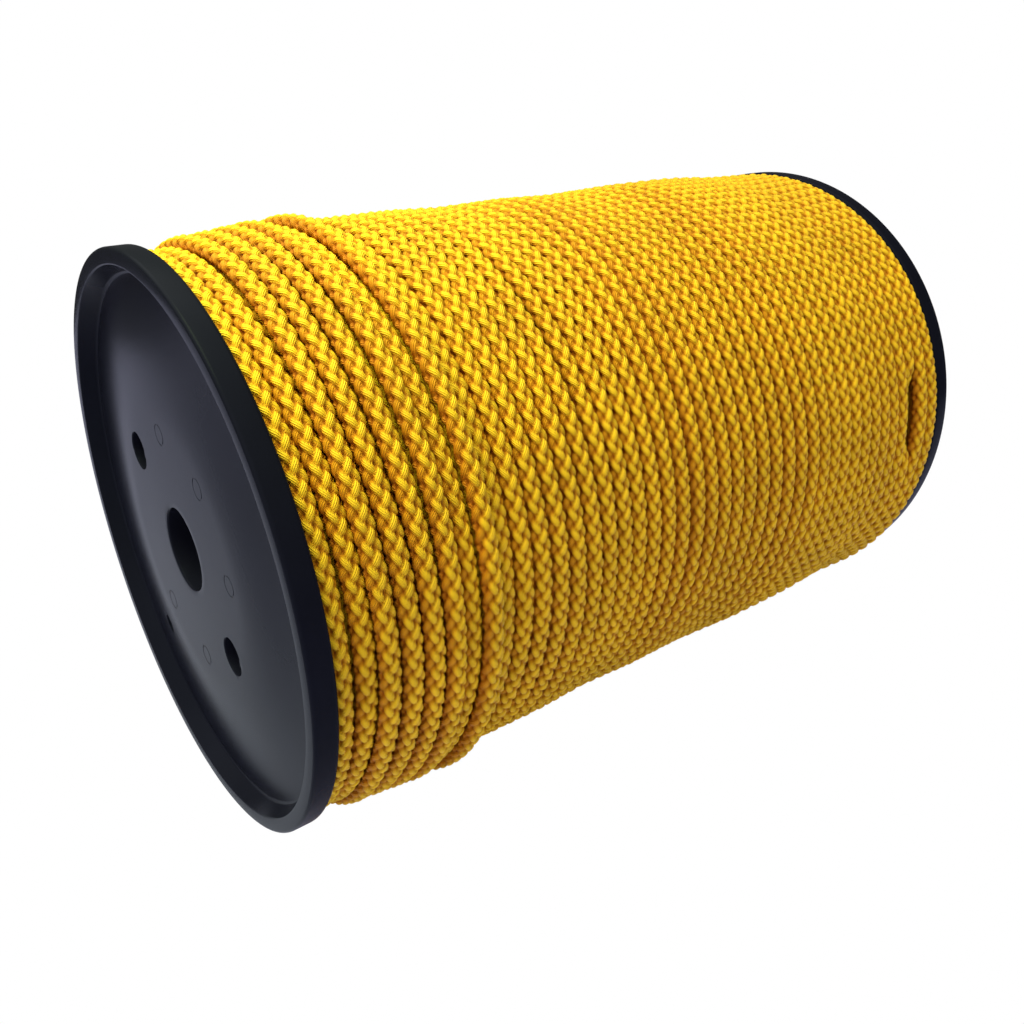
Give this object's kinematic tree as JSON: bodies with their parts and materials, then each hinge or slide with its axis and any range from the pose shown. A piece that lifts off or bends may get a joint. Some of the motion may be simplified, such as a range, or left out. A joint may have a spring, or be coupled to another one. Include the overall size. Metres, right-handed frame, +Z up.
{
  "type": "cord reel",
  "caption": "Reel wound full of braided cord: two lipped flanges with a spindle bore, drive holes and a cord anchor hole, joined by a barrel.",
  "frame": {"origin": "centre of the reel, midway between the flanges on the spindle axis", "axes": "+Y along the spindle axis, from the near flange to the far flange; +Z up, with the reel lying on its rims"},
  "size_m": [0.15, 0.23, 0.15],
  "materials": {
    "flange_plastic": "black moulded plastic, satin",
    "barrel_plastic": "black extruded plastic, satin",
    "cord": "8-strand braid, bright yellow with a soft sheen"
  },
  "bodies": {
    "root": {"near_flange": "flange_plastic", "far_flange": "flange_plastic", "barrel": "barrel_plastic", "cord_layer_1": "cord", "cord_layer_2": "cord", "cord_layer_3": "cord", "cord_layer_4": "cord", "cord_layer_5": "cord", "cord_layer_6": "cord", "cord_top_wraps": "cord"}
  },
  "joints": []
}
